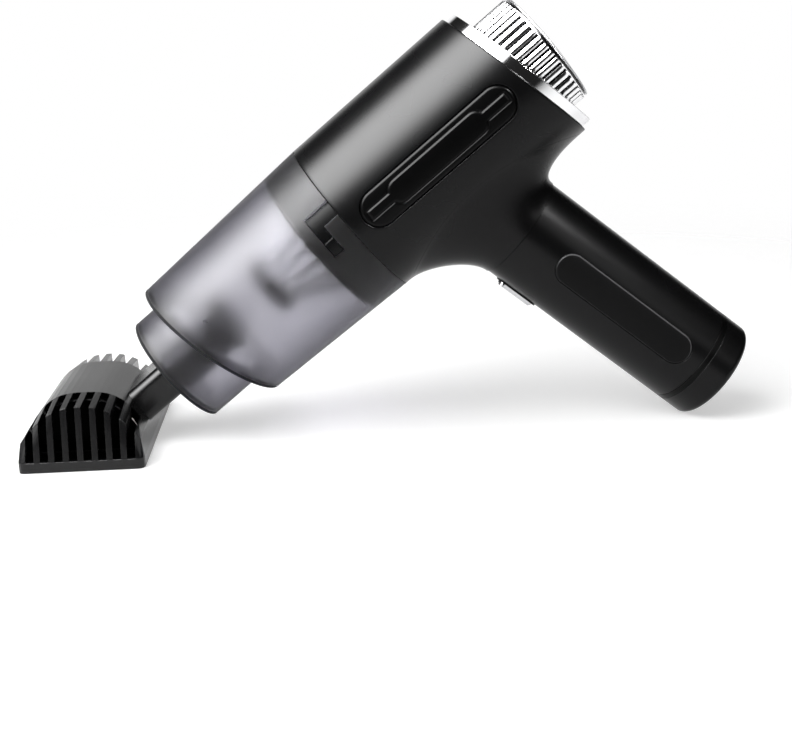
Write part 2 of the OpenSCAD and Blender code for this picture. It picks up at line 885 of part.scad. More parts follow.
// Pleated paper cone, hollow, tapering to the cap
module filter_pleats() {
    color("#e8e6df") in_stance() translate([filter_back + filter_lip, 0, 0]) rotate([0, -90, 0])
        linear_extrude(height = pleat_len, scale = filter_front_r / pleat_r) difference() {
            polygon(star(pleat_r, pleat_depth));
            polygon(star(pleat_r - pleat_paper, pleat_depth));
        }
}

module filter_cap() {
    front = filter_back + filter_lip - pleat_len;
    edge = 1.2;
    rim = filter_front_r + filter_cap_lip;
    color(black) in_stance() translate([front, 0, 0]) rotate([0, -90, 0]) rotate_extrude() union() {
        square([rim, filter_cap_t - edge]);
        square([rim - edge, filter_cap_t]);
        translate([rim - edge, filter_cap_t - edge]) circle(r = edge);
    }
}

// Dust cup

module cup_outside() {
    cup_slope = (barrel_r - cup_front_r) / cup_len;
    far = cup_len + slant_rise + 2;
    intersection() {
        rod(-far, far, barrel_r - cup_slope * far, barrel_r);
        behind(-cup_len);
    }
    rod(inlet_u, inlet_reach + slant_rise + 4, inlet_r);
}

module cup_inside() {
    cup_slope = (barrel_r - cup_front_r) / cup_len;
    far = cup_len + slant_rise + 2;
    inner = barrel_r - cup_wall;
    intersection() {
        union() {
            rod(-skirt, skirt + 1, cup_bore);
            rod(-far, far - skirt + 0.1, inner - cup_slope * far, inner - cup_slope * skirt);
        }
        behind(-cup_len + cup_wall);
    }
    rod(inlet_u + cup_wall, inlet_reach + slant_rise + cup_wall, inlet_r - cup_wall);
}

// Bayonet slots: a mouth open to the body, then a run round to where the lug is locked
module bayonet_slot(a) {
    u0 = lug_u - lug_gap;
    len = lug_len + 2 * lug_gap;
    half = lug_half + lug_gap_deg;
    ring_sector(cup_bore - 1, barrel_r + 1, u0, len, a - cup_turn - half, a + half);
    ring_sector(cup_bore - 1, barrel_r + 1, u0, 1 - u0, a - cup_turn - half, a - cup_turn + half);
}

// Ear beside the sleeve that holds one end of the flap's pin
module flap_ear(side) {
    ear_len = hinge_u - sleeve_end + ear_back;
    translate([sleeve_end - ear_back, side * (sleeve_y + ear_t / 2), 0]) {
        translate([0, -ear_t / 2, -ear_drop]) cube([ear_len + knuckle_r, ear_t, hinge_z + ear_drop]);
        translate([ear_len, ear_t / 2, hinge_z]) rotate([90, 0, 0]) cylinder(h = ear_t, r = knuckle_r);
    }
}

module dust_cup() {
    color(smoke) in_stance() difference() {
        union() {
            difference() {
                cup_outside();
                cup_inside();
            }
            duct(inlet_u, sleeve_end - inlet_u, 2 * sleeve_y, 2 * sleeve_z, corner_r + sleeve_wall);
            for (side = [-1, 1]) flap_ear(side);
        }
        duct(inlet_u - 1, big, plug_w + 2 * fit, plug_t + 2 * fit, corner_r);
        for (a = lug_angles) bayonet_slot(a);
        translate([hinge_u, big / 2, hinge_z]) rotate([90, 0, 0])
            cylinder(h = big, r = flap_pin_r + 0.02);
    }
}

module inlet_flap() {
    color(rubber) in_stance() difference() {
        union() {
            translate([flap_u, -flap_y, -sleeve_z]) cube([flap_t, 2 * flap_y, sleeve_z + hinge_z]);
            translate([hinge_u, flap_y, hinge_z]) rotate([90, 0, 0]) cylinder(h = 2 * flap_y, r = knuckle_r);
        }
        translate([hinge_u, big / 2, hinge_z]) rotate([90, 0, 0])
            cylinder(h = big, r = flap_pin_r + run_gap);
    }
}

module flap_pin() {
    reach = sleeve_y + ear_t;
    color(steel) in_stance() translate([hinge_u, reach, hinge_z]) rotate([90, 0, 0])
        cylinder(h = 2 * reach, r = flap_pin_r);
}

// Claw nozzle, drawn on the floor with its neck along the barrel

// Side outline of the hood: upright ends under a round top
function arch(x, h, base, full) = concat([[x, 0]],
    [for (i = [0:arch_steps]) let (t = 1 - 2 * i / arch_steps)
        [x * t, base + (h - base) * (1 - pow(abs(t), full))]],
    [[-x, 0]]);

module arch_block(x, h, base, full, y) {
    translate([hood_x, y, 0]) rotate([90, 0, 0]) linear_extrude(2 * y) polygon(arch(x, h, base, full));
}

// Foot of the hood: a slab with rounded corners
function slab(x, y, r) = [for (i = [0:3], j = [0:3]) let (a = 90 * i + 30 * j)
    [(i == 0 || i == 3 ? x - r : r - x) + r * cos(a), (i < 2 ? y - r : r - y) + r * sin(a)]];

module lip_block(x, y, r) {
    translate([hood_x, 0, 0]) linear_extrude(lip_h) polygon(slab(x, y, r));
}

// Hood outline: a band across the top and leaning sides, drawn in by a wall all round
module hood_form(wall) {
    x = mouth_x - shoulder_in - wall;
    hull() {
        arch_block(x, hood_h - wall, arch_base - wall, top_full, comb_y);
        arch_block(x, hood_h - shoulder_drop - wall, arch_base - wall, side_full, mouth_y - lean - wall);
        lip_block(mouth_x - wall, mouth_y - wall, lip_round);
    }
}

// Wall and floor behind each comb, on both sides of the mouth
module baffles() {
    intersection() {
        hood_form(hood_wall - baffle_sink);
        for (s = [-1, 1]) mirror([0, s < 0 ? 1 : 0, 0]) translate([-big, baffle_y, baffle_up]) {
            cube([2 * big, baffle_t, big]);
            cube([2 * big, big, baffle_t]);
        }
    }
}

module tool_neck(y, z, r, u_from) {
    in_stance() duct(floor_u, u_from - floor_u, y, z, r);
}

module claw_nozzle() {
    color(black) {
        difference() {
            union() {
                hood_form(0);
                difference() {
                    union() {
                        tool_neck(plug_w + 2 * neck_grow, plug_t + 2 * neck_grow, corner_r + neck_grow,
                            inlet_u - slide_gap);
                        tool_neck(plug_w, plug_t, corner_r, sleeve_end - 0.5);
                    }
                    translate([-big, -big, -big]) cube([2 * big, 2 * big, big]);
                }
            }
            translate([0, 0, -0.01]) hood_form(hood_wall);
            tool_neck(plug_w - 2 * plug_wall, plug_t - 2 * plug_wall, corner_r - plug_wall, big);
            for (i = [0:slot_count - 1], s = [-1, 1])
                translate([hood_x + (i - (slot_count - 1) / 2) * bar_pitch - slot_w / 2, 0, lip_h])
                    translate([0, s > 0 ? comb_y : -comb_y - big, 0]) cube([slot_w, big, big]);
        }
        baffles();
    }
}

body_shell();
side_inlay_left();
side_inlay_right();
rear_ring();
exhaust_crown();
crown_cap();
handle_tube();
grip_pad_left();
grip_pad_right();
end_band();
end_cap();
trigger_button();
trigger_bezel();
switch_plunger();
power_switch();
control_board();
charging_socket();
battery_cell_left();
battery_cell_right();
battery_holder();
motor_can();
motor_shaft();
front_bearing();
rear_bearing();
impeller();
fan_shroud();
motor_mount();
motor_gasket();
motor_screws();
stack_screws();
front_collar();
cup_seal();
filter_frame();
filter_pleats();
filter_cap();
dust_cup();
inlet_flap();
flap_pin();
claw_nozzle();
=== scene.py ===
"""Car vacuum cleaner: its surfaces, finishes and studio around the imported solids."""

import json
import math

import bmesh
import bpy
import numpy as np
from bpy.props import FloatProperty, FloatVectorProperty, IntProperty, PointerProperty
from mathutils import Euler, Matrix, Vector


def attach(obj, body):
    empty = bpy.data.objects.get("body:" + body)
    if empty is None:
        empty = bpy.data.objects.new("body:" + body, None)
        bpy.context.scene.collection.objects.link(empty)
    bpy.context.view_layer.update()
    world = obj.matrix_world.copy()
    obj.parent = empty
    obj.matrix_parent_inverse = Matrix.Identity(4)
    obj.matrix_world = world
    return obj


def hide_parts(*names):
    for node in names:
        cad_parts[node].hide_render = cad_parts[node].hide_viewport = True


bl_info = {
    "name": "Car vacuum cleaner",
    "version": (1, 0, 0),
    "blender": (4, 5, 0),
    "location": "View3D > Sidebar > Vacuum",
    "description": "Dresses the packed solids of a handheld vacuum cleaner",
    "category": "Object",
}

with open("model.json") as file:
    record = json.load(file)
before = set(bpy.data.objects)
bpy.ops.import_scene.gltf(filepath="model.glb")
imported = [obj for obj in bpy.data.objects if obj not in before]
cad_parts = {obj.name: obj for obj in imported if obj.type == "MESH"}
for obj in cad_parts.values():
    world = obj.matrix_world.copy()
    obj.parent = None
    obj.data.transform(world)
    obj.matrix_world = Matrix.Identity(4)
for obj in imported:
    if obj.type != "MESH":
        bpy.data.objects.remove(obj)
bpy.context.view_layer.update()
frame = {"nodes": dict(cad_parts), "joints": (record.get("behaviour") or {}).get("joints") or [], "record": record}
NODES = frame["nodes"]
PHOTO_W = 792  # the picture's width in pixels
# Sockets of a Mix node: two colours in and one out, two values in.
COLOUR_A, COLOUR_B, COLOUR_OUT = 6, 7, 2
VALUE_A, VALUE_B = 2, 3


class VacuumFinish(bpy.types.PropertyGroup):
    """Colours and gloss of the mouldings and platings."""

    black: FloatVectorProperty(
        name="Black plastic", description="Body, handle and nozzle", subtype="COLOR",
        default=(0.0035, 0.0035, 0.0038))
    panel: FloatVectorProperty(
        name="Panel", description="Inlays in the barrel's sides", subtype="COLOR",
        default=(0.0012, 0.0012, 0.0013))
    rubber: FloatVectorProperty(
        name="Rubber", description="Pads in the handle's sides, seals and flap", subtype="COLOR",
        default=(0.0022, 0.0022, 0.0024))
    plating: FloatVectorProperty(
        name="Plating", description="Ring, crown and trigger", subtype="COLOR",
        default=(0.86, 0.86, 0.87))
    smoke: FloatVectorProperty(
        name="Smoky plastic", description="Dust cup", subtype="COLOR",
        default=(0.94, 0.935, 0.955))
    paper: FloatVectorProperty(
        name="Filter paper", description="Pleats", subtype="COLOR",
        default=(0.4, 0.4, 0.4))
    satin: FloatProperty(
        name="Satin", description="Roughness of the black mouldings", subtype="FACTOR",
        default=0.26, min=0.0, max=1.0)
    frost: FloatProperty(
        name="Frost", description="Roughness of the smoky plastic", subtype="FACTOR",
        default=0.42, min=0.0, max=1.0)
    smoke_depth: FloatProperty(
        name="Smoke depth", description="How fast the smoky plastic takes light away, per metre",
        default=400.0)


class VacuumForm(bpy.types.PropertyGroup):
    """Sizes of the surfaces, as in the solids that they stand for, but with finer fin slots."""

    barrel_r: FloatProperty(
        name="Barrel radius", description="Outside of the barrel", unit="LENGTH", default=0.034)
    body_len: FloatProperty(
        name="Body length", description="From the cup to the ring, on the axis", unit="LENGTH",
        default=0.084)
    slant: FloatProperty(
        name="Rear slant", description="Lean of the ring's plane", subtype="ANGLE",
        default=math.radians(12.5))
    body_wall: FloatProperty(
        name="Wall", description="Wall of the body and the handle", unit="LENGTH", default=0.0024)
    rake: FloatProperty(
        name="Handle rake", description="Lean of the handle", subtype="ANGLE",
        default=math.radians(12.5))
    handle_u: FloatProperty(
        name="Handle place", description="Where the handle's axis meets the barrel's",
        unit="LENGTH", default=0.0373)
    handle_r: FloatProperty(
        name="Handle radius", description="Outside of the handle", unit="LENGTH", default=0.0212)
    neck_r: FloatProperty(
        name="Neck radius", description="Outside of the neck at the seam", unit="LENGTH",
        default=0.0216)
    neck_len: FloatProperty(
        name="Neck length", description="From the barrel's axis to the seam", unit="LENGTH",
        default=0.048)
    inlay: FloatVectorProperty(
        name="Inlay", description="Length and width of the side panels", unit="LENGTH", size=2,
        default=(0.072, 0.015))
    island: FloatVectorProperty(
        name="Island", description="Length and width of the raised island", unit="LENGTH", size=2,
        default=(0.045, 0.0084))
    rib_w: FloatProperty(
        name="Rib", description="Width of the ribs beside the island", unit="LENGTH", default=0.003)
    pad: FloatVectorProperty(
        name="Grip pad", description="Length and width of the grip pads", unit="LENGTH", size=2,
        default=(0.066, 0.013))
    pad_z: FloatProperty(
        name="Pad place", description="Middle of the pads down the handle", unit="LENGTH",
        default=0.0973)
    cup_len: FloatProperty(
        name="Cup length", description="From the body to the cup's front, on the axis", unit="LENGTH",
        default=0.074)
    cup_front_r: FloatProperty(
        name="Cup front radius", description="Outside of the cup at its front", unit="LENGTH",
        default=0.0317)
    inlet_reach: FloatProperty(
        name="Inlet reach", description="From the cup's front to its collar's end", unit="LENGTH",
        default=0.0195)
    inlet_r: FloatProperty(
        name="Inlet radius", description="Outside of the cup's collar", unit="LENGTH", default=0.024)
    comb_wall: FloatProperty(
        name="Comb wall", description="From the middle to the wall behind a comb", unit="LENGTH",
        default=0.0276)
    comb_floor: FloatProperty(
        name="Comb floor", description="Height of the floor behind a comb", unit="LENGTH",
        default=0.0031)
    ring_t: FloatProperty(
        name="Ring", description="Thickness of the rear ring", unit="LENGTH", default=0.004)
    crown_r: FloatProperty(
        name="Crown radius", description="Outside of the fins", unit="LENGTH", default=0.02425)
    crown_top: FloatProperty(
        name="Crown height", description="From the front of the body to the dome's rim", unit="LENGTH",
        default=0.1)
    fins: IntProperty(name="Fins", description="Fins round the crown", default=44)
    fin_slot: FloatProperty(
        name="Fin slot", description="Gap between two fins", unit="LENGTH", default=0.0011)
    dome: FloatProperty(
        name="Dome", description="Rise of the crown's top", unit="LENGTH", default=0.0025)
    edge: FloatProperty(
        name="Edge", description="Radius of the moulded edges", unit="LENGTH", default=0.0005)


class VacuumStage(bpy.types.PropertyGroup):
    """Camera, lamps and floor."""

    eye: FloatVectorProperty(
        name="Camera", description="Where the camera stands", subtype="XYZ", unit="LENGTH",
        default=(-0.01694, -0.54701, 0.17525))
    yaw: FloatProperty(
        name="Yaw", description="Camera turned to the right of +Y", subtype="ANGLE",
        default=math.radians(1.952))
    pitch: FloatProperty(
        name="Pitch", description="Camera turned down", subtype="ANGLE",
        default=math.radians(15.8))
    roll: FloatProperty(
        name="Roll", description="Camera turned about its own view", subtype="ANGLE",
        default=math.radians(-2.084))
    focal: FloatProperty(
        name="Focal length", description="In pixels of the picture", default=1392.0)
    key: FloatProperty(
        name="Key lamp", description="Power of the soft box above left", subtype="POWER",
        default=42.0)
    sheen: FloatProperty(
        name="Sheen card", description="Power of the card that only gloss shows", subtype="POWER",
        default=190.0)
    fill: FloatProperty(
        name="Fill lamp", description="Power of the soft box above right", subtype="POWER",
        default=1.2)
    streak: FloatProperty(
        name="Streak card", description="Power of the card that draws a streak along the handle",
        subtype="POWER", default=38.0)
    ambient: FloatProperty(
        name="Ambient", description="World light on matt surfaces", default=0.3)
    room: FloatProperty(
        name="Room", description="What gloss and glass see beside the white wall", default=0.015)
    lift: FloatProperty(
        name="Floor lift", description="White that camera, gloss and glass see in the floor",
        default=0.47)
    floor: FloatVectorProperty(
        name="Floor", description="Colour of the floor", subtype="COLOR",
        default=(0.7, 0.7, 0.7))


def finish_of():
    """The finish settings."""
    return bpy.context.scene.vacuum_finish


def form_of():
    """The size settings."""
    return bpy.context.scene.vacuum_form


def joint(name):
    """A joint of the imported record."""
    return next(j for j in frame["joints"] if j["name"] == name)


def node_points(name):
    """The corners of a node's mesh, as rows."""
    mesh = NODES[name].data
    flat = np.empty(len(mesh.vertices) * 3)
    mesh.vertices.foreach_get("co", flat)
    return flat.reshape(-1, 3)


def barrel_frame():
    """Origin on the axis at the front of the body; rows u to the rear, v across, w square to both."""
    spin = joint("rotor_spin")
    u = np.array(spin["axis"], float)
    u /= np.linalg.norm(u)
    v = np.array((0.0, 1.0, 0.0))
    at = np.array(spin["pos_m"], float)
    front = (node_points("body_shell") @ u).min()
    return at + u * (front - at @ u), np.stack([u, v, np.cross(u, v)])


def handle_frame():
    """Origin where the handle's axis meets the barrel's; rows x to the front, y across, z down."""
    form = form_of()
    start, (u, v, w) = barrel_frame()
    c, s = math.cos(form.rake), math.sin(form.rake)
    return start + form.handle_u * u, np.stack([-c * u - s * w, v, s * u - c * w])


def link(tree, a, a_socket, b, b_socket):
    """Joins output a_socket of node a to input b_socket of node b."""
    tree.links.new(a.outputs[a_socket], b.inputs[b_socket])


def add(tree, kind, **settings):
    """A node of that kind, with attributes and, by socket name, input values."""
    node = tree.nodes.new(kind)
    for key, value in settings.items():
        if key in node.inputs:
            node.inputs[key].default_value = value
        else:
            setattr(node, key, value)
    return node


def new_group(name, inputs, outputs):
    """A shader group with float inputs (name: default) and outputs (name: socket type)."""
    tree = bpy.data.node_groups.new(name, "ShaderNodeTree")
    for key, value in inputs.items():
        socket = tree.interface.new_socket(key, in_out="INPUT", socket_type="NodeSocketFloat")
        socket.default_value = value
    for key, kind in outputs.items():
        tree.interface.new_socket(key, in_out="OUTPUT", socket_type=kind)
    return tree, tree.nodes.new("NodeGroupInput"), tree.nodes.new("NodeGroupOutput")


def moulded_grain():
    """Spark-eroded grain of a moulding: fine noise as height, broad noise as gloss, soft edges."""
    name = "moulded grain"
    if name in bpy.data.node_groups:
        return bpy.data.node_groups[name]
    tree, given, out = new_group(
        name,
        {"Grain": 2600.0, "Depth": 0.12, "Rough Low": 0.38, "Rough High": 0.46, "Edge": 0.0003},
        {"Normal": "NodeSocketVector", "Roughness": "NodeSocketFloat", "Drift": "NodeSocketFloat"},
    )
    where = tree.nodes.new("ShaderNodeTexCoord")
    fine = add(tree, "ShaderNodeTexNoise", Detail=3.0, Roughness=0.6)
    bump = add(tree, "ShaderNodeBump", Distance=0.00006)
    broad = add(tree, "ShaderNodeTexNoise", Scale=38.0, Detail=2.0)
    spread = add(tree, "ShaderNodeMapRange")
    link(tree, where, "Object", fine, "Vector")
    link(tree, given, "Grain", fine, "Scale")
    link(tree, fine, "Fac", bump, "Height")
    link(tree, given, "Depth", bump, "Strength")
    soft = add(tree, "ShaderNodeBevel", samples=4)
    link(tree, given, "Edge", soft, "Radius")
    link(tree, soft, "Normal", bump, "Normal")
    link(tree, bump, "Normal", out, "Normal")
    link(tree, where, "Object", broad, "Vector")
    link(tree, broad, "Fac", spread, "Value")
    link(tree, given, "Rough Low", spread, "To Min")
    link(tree, given, "Rough High", spread, "To Max")
    link(tree, spread, "Result", out, "Roughness")
    link(tree, broad, "Fac", out, "Drift")
    return tree


def plain_material(name, colour, constants):
    """A material with one Principled shader: colour and constants on its own sockets."""
    mat = bpy.data.materials.new(name)
    mat.use_nodes = True
    shader = mat.node_tree.nodes["Principled BSDF"]
    shader.inputs["Base Color"].default_value = (*colour, 1.0)
    for key, value in constants.items():
        shader.inputs[key].default_value = value
    mat.diffuse_color = (*colour, 1.0)
    return mat, mat.node_tree, shader


def grained(name, colour, rough, drift=0.25, grain=2600.0, depth=0.12, edge=0.0003, **constants):
    """A moulding's finish: grain as bump, gloss that drifts, and a slight drift of colour."""
    mat, tree, shader = plain_material(name, colour, constants)
    below, above = 0.04, 0.05
    values = {"Rough Low": rough - below, "Rough High": rough + above}
    grain_node = add(tree, "ShaderNodeGroup", node_tree=moulded_grain(),
                     Grain=grain, Depth=depth, Edge=edge, **values)
    tone = add(tree, "ShaderNodeMix", data_type="RGBA")
    tone.inputs[COLOUR_A].default_value = (*(c * (1.0 - drift) for c in colour), 1.0)
    tone.inputs[COLOUR_B].default_value = (*(min(1.0, c * (1.0 + drift)) for c in colour), 1.0)
    link(tree, grain_node, "Drift", tone, 0)
    link(tree, tone, COLOUR_OUT, shader, "Base Color")
    link(tree, grain_node, "Roughness", shader, "Roughness")
    link(tree, grain_node, "Normal", shader, "Normal")
    return mat


def place_group(name, origin, axis, up):
    """Where a point lies about an axis: along it, up square to it, and out from it."""
    if name in bpy.data.node_groups:
        return bpy.data.node_groups[name]
    tree, _, out = new_group(name, {}, {key: "NodeSocketFloat" for key in ("Along", "Up", "Out")})
    where = tree.nodes.new("ShaderNodeTexCoord")
    shift = add(tree, "ShaderNodeVectorMath", operation="SUBTRACT")
    shift.inputs[1].default_value = origin
    link(tree, where, "Object", shift, 0)
    for key, row in (("Along", axis), ("Up", up)):
        dot = add(tree, "ShaderNodeVectorMath", operation="DOT_PRODUCT")
        dot.inputs[1].default_value = row
        link(tree, shift, 0, dot, 0)
        link(tree, dot, "Value", out, key)
    cross = add(tree, "ShaderNodeVectorMath", operation="CROSS_PRODUCT")
    cross.inputs[1].default_value = axis
    off = add(tree, "ShaderNodeVectorMath", operation="LENGTH")
    link(tree, shift, 0, cross, 0)
    link(tree, cross, 0, off, 0)
    link(tree, off, "Value", out, "Out")
    return tree


def ramp(tree, low, high, start=0.0, end=1.0):
    """A smooth step of its Value from start at low to end at high."""
    node = add(tree, "ShaderNodeMapRange", interpolation_type="SMOOTHSTEP")
    for key, value in (("From Min", low), ("From Max", high), ("To Min", start), ("To Max", end)):
        node.inputs[key].default_value = value
    return node


def joined(tree, a, a_socket, b, b_socket, operation="MULTIPLY"):
    """A node that joins two values, by multiplying them if nothing else is named."""
    node = add(tree, "ShaderNodeMath", operation=operation)
    link(tree, a, a_socket, node, 0)
    link(tree, b, b_socket, node, 1)
    return node


def tint(mat, mask, mask_socket, colour):
    """Mixes another colour into a finish's base colour by a mask."""
    tree = mat.node_tree
    shader = tree.nodes["Principled BSDF"]
    tone = shader.inputs["Base Color"].links[0].from_socket
    mix = add(tree, "ShaderNodeMix", data_type="RGBA")
    mix.inputs[COLOUR_B].default_value = (*colour, 1.0)
    link(tree, mask, mask_socket, mix, 0)
    tree.links.new(tone, mix.inputs[COLOUR_A])
    link(tree, mix, COLOUR_OUT, shader, "Base Color")


def in_barrel(tree):
    """A node for the place in the barrel."""
    origin, (u, _, w) = barrel_frame()
    return add(tree, "ShaderNodeGroup", node_tree=place_group("barrel place", origin, u, w))


def in_handle(tree):
    """A node for the place in the handle."""
    origin, (x, _, z) = handle_frame()
    return add(tree, "ShaderNodeGroup", node_tree=place_group("handle place", origin, z, x))


def finned_plating(colour, form):
    """Bright plating on the fins and painted shade in the slots, black and not metallic there, told apart by the
    distance from the axis.
    """
    mat = grained("finned plating", colour, rough=0.14, drift=0.04, depth=0.02, edge=0.0)
    tree = mat.node_tree
    # Painted shade: below these radii, in the slots, the plating is painted black and loses its metal.
    black, plated = form.crown_r - 0.0010, form.crown_r - 0.0006
    slot_shade_colour = (0.004, 0.004, 0.004)
    deep = ramp(tree, black, plated, 1.0, 0.0)
    link(tree, in_barrel(tree), "Out", deep, "Value")
    tint(mat, deep, "Result", slot_shade_colour)
    bright = add(tree, "ShaderNodeMath", operation="SUBTRACT")
    bright.inputs[0].default_value = 1.0
    link(tree, deep, "Result", bright, 1)
    link(tree, bright, 0, tree.nodes["Principled BSDF"], "Metallic")


def smoke_and_painted_rim_shade(mat, form, depth):
    """Smoky plastic soaks up light in its depth; painted shade darkens its two front rims and its rear skirt over
    the body's collar, and the rims get a rougher gloss.
    """
    tree = mat.node_tree
    # Painted shade on the rims, for the dark edges of the thick moulding, and on the skirt, for the shade over the
    # body's collar.
    rim_long, rim_deep, blur = 0.0010, 0.0012, (0.0005, 0.0004)
    skirt_start, skirt_full, skirt_shade = -0.0165, -0.0145, 0.55
    rim_shade_colour, rim_rough, kept_colour = (0.02, 0.02, 0.025), 0.9, (0.50, 0.495, 0.54, 1.0)
    soak = add(tree, "ShaderNodeVolumeAbsorption", Color=kept_colour, Density=depth)
    link(tree, soak, "Volume", tree.nodes["Material Output"], "Volume")
    place = in_barrel(tree)
    lean = add(tree, "ShaderNodeMath", operation="MULTIPLY_ADD")
    lean.inputs[1].default_value = math.tan(form.slant)
    link(tree, place, "Up", lean, 0)
    link(tree, place, "Along", lean, 2)
    masks = []
    inlet_front = -form.cup_len - form.inlet_reach
    for source, socket, front, radius in (
            (lean, 0, -form.cup_len, form.cup_front_r),
            (place, "Along", inlet_front, form.inlet_r)):
        near = ramp(tree, front + rim_long, front + rim_long + blur[0], 1.0, 0.0)
        wide = ramp(tree, radius - rim_deep, radius - rim_deep + blur[1])
        link(tree, source, socket, near, "Value")
        link(tree, place, "Out", wide, "Value")
        masks.append(joined(tree, near, "Result", wide, "Result"))
    skirt = ramp(tree, skirt_start, skirt_full, 0.0, skirt_shade)
    link(tree, place, "Along", skirt, "Value")
    rims = joined(tree, masks[0], 0, masks[1], 0, "ADD")
    # Paints the shade of the rims and the skirt into the base colour.
    tint(mat, joined(tree, rims, 0, skirt, "Result", "MAXIMUM"), 0, rim_shade_colour)
    shader = tree.nodes["Principled BSDF"]
    matt = add(tree, "ShaderNodeMix", data_type="FLOAT")
    matt.inputs[VALUE_B].default_value = rim_rough
    tree.links.new(shader.inputs["Roughness"].links[0].from_socket, matt.inputs[VALUE_A])
    link(tree, rims, 0, matt, 0)
    link(tree, matt, 0, shader, "Roughness")


def pad_rubber(colour, form):
    """Matt rubber whose rounded edge is painted pale, a painted highlight with some edge wear, strongest at the
    rear edge where the highlight lies.
    """
    mat = grained("pad rubber", colour, rough=0.5, grain=1500.0, depth=0.2, IOR=1.18)
    tree = mat.node_tree
    place = in_handle(tree)
    # Painted highlight with some wear: a pale ring round the pad's edge, made strongest at the rear edge, where
    # light catches it.
    pale, dark = form.handle_r + 0.00006, form.handle_r + 0.00016
    back, front, least = -0.005, 0.004, 0.12
    highlight_and_wear_colour = (0.14, 0.14, 0.145)
    edge = ramp(tree, pale, dark, 1.0, 0.0)
    highlight_side = ramp(tree, back, front, 1.0, least)
    link(tree, place, "Out", edge, "Value")
    link(tree, place, "Up", highlight_side, "Value")
    tint(mat, joined(tree, edge, "Result", highlight_side, "Result"), 0, highlight_and_wear_colour)


def nozzle_plastic(colour, form):
    """Satin black with painted shade: dead black and metallic, so without gloss, on the wall and the floor behind
    the combs' slots.
    """
    mat = grained("nozzle plastic", colour, rough=0.24, IOR=1.36)
    tree = mat.node_tree
    where = tree.nodes.new("ShaderNodeTexCoord")
    place, way = (tree.nodes.new("ShaderNodeSeparateXYZ") for _ in range(2))
    link(tree, where, "Object", place, 0)
    link(tree, where, "Normal", way, 0)
    off, side = (add(tree, "ShaderNodeMath", operation="ABSOLUTE") for _ in range(2))
    link(tree, place, "Y", off, 0)
    link(tree, way, "Y", side, 0)
    lean, play, blur = 0.0057, 0.0001, 0.0002
    inner, outer, ground_top = form.comb_wall - lean, form.comb_wall + play, form.comb_floor + play
    tilted, square = 0.85, 0.95
    masks = []
    for source, socket, low, high, start in (
            (off, 0, inner, inner + blur, 0.0),
            (off, 0, outer, outer + blur, 1.0),
            (side, 0, tilted, square, 0.0),
            (place, "Z", ground_top, ground_top + blur, 1.0),
            (way, "Z", tilted, square, 0.0)):
        masks.append(ramp(tree, low, high, start, 1.0 - start))
        link(tree, source, socket, masks[-1], "Value")
    band = joined(tree, masks[0], "Result", masks[1], "Result")
    wall = joined(tree, band, 0, masks[2], "Result")
    ground = joined(tree, masks[3], "Result", masks[4], "Result")
    deep = joined(tree, wall, 0, ground, 0, "MAXIMUM")
    # Painted shade: the wall and floor behind the slots are painted black and made metallic, so that they show
    # neither matt light nor gloss.
    painted_shade_black = (0.0006, 0.0006, 0.0006)
    tint(mat, deep, 0, painted_shade_black)
    link(tree, deep, 0, tree.nodes["Principled BSDF"], "Metallic")
    return mat


def all_finishes():
    """Every finish by the record's slot name, and two by the node that alone wears them."""
    look = finish_of()
    button_dim, dome_dim = 0.62, 0.8
    made = {
        "black_plastic": grained("black satin plastic", look.black, look.satin, IOR=1.25),
        "panel_plastic": grained("panel plastic", look.panel, rough=0.3, IOR=1.18),
        "soft_rubber": grained("soft rubber", look.rubber, rough=0.5, grain=1500.0, depth=0.2, IOR=1.25),
        "plated_plastic": grained("bright plating", look.plating, rough=0.07, drift=0.04, depth=0.02,
                                  Metallic=1.0),
        "smoky_plastic": grained("smoky frosted plastic", look.smoke, look.frost, drift=0.04, depth=0.02,
                                 edge=0.0, IOR=1.3, **{"Transmission Weight": 1.0}),
        "steel": grained("steel", (0.56, 0.56, 0.57), rough=0.3, drift=0.08, Metallic=1.0),
        "bronze": grained("sintered bronze", (0.55, 0.34, 0.16), rough=0.45, Metallic=1.0),
        "fan_plastic": grained("fan plastic", (0.03, 0.03, 0.032), rough=0.4),
        "filter_paper": grained("filter paper", look.paper, rough=0.85, drift=0.06, grain=900.0, depth=0.4),
        "board": grained("circuit board", (0.02, 0.16, 0.06), rough=0.4),
        "cell": grained("cell wrap", (0.05, 0.18, 0.42), rough=0.3),
    }
    smoke_and_painted_rim_shade(made["smoky_plastic"], form_of(), look.smoke_depth)
    made["claw_nozzle"] = nozzle_plastic(look.black, form_of())
    made["trigger_button"] = grained("button plating", [button_dim * c for c in look.plating], rough=0.12,
                                     drift=0.04, depth=0.02, edge=0.0006, Metallic=1.0)
    # The fins, the pads and the dome ask for theirs by its own name.
    finned_plating(look.plating, form_of())
    pad_rubber(look.rubber, form_of())
    grained("dome plating", [dome_dim * c for c in look.plating], rough=0.3, drift=0.06, grain=900.0,
            depth=0.1, Metallic=1.0)
    return made


class VACUUM_OT_finishes(bpy.types.Operator):
    """Makes the finishes and lays each on the nodes that wear it"""

    bl_idname = "vacuum.finishes"
    bl_label = "Finishes"

    def execute(self, context):
        made = all_finishes()
        for entry in frame["record"]["subparts"]:
            mesh = NODES[entry["node"]].data
            mesh.materials.clear()
            mesh.materials.append(made.get(entry["node"], made[entry["material_slot"]]))
        return {"FINISHED"}


def placed(points, where):
    """Points of a local frame in the shared frame."""
    origin, rows = where
    return points @ rows + origin


def grid_quads(rows, cols, start=0, close_rows=False, close_cols=True):
    """Quads between neighbouring points of a grid that is stored row by row from start."""
    i, j = np.meshgrid(np.arange(rows if close_rows else rows - 1),
                       np.arange(cols if close_cols else cols - 1), indexing="ij")
    k, n = (j + 1) % cols, (i + 1) % rows
    return start + np.stack([i * cols + j, i * cols + k, n * cols + k, n * cols + j], -1).reshape(-1, 4)


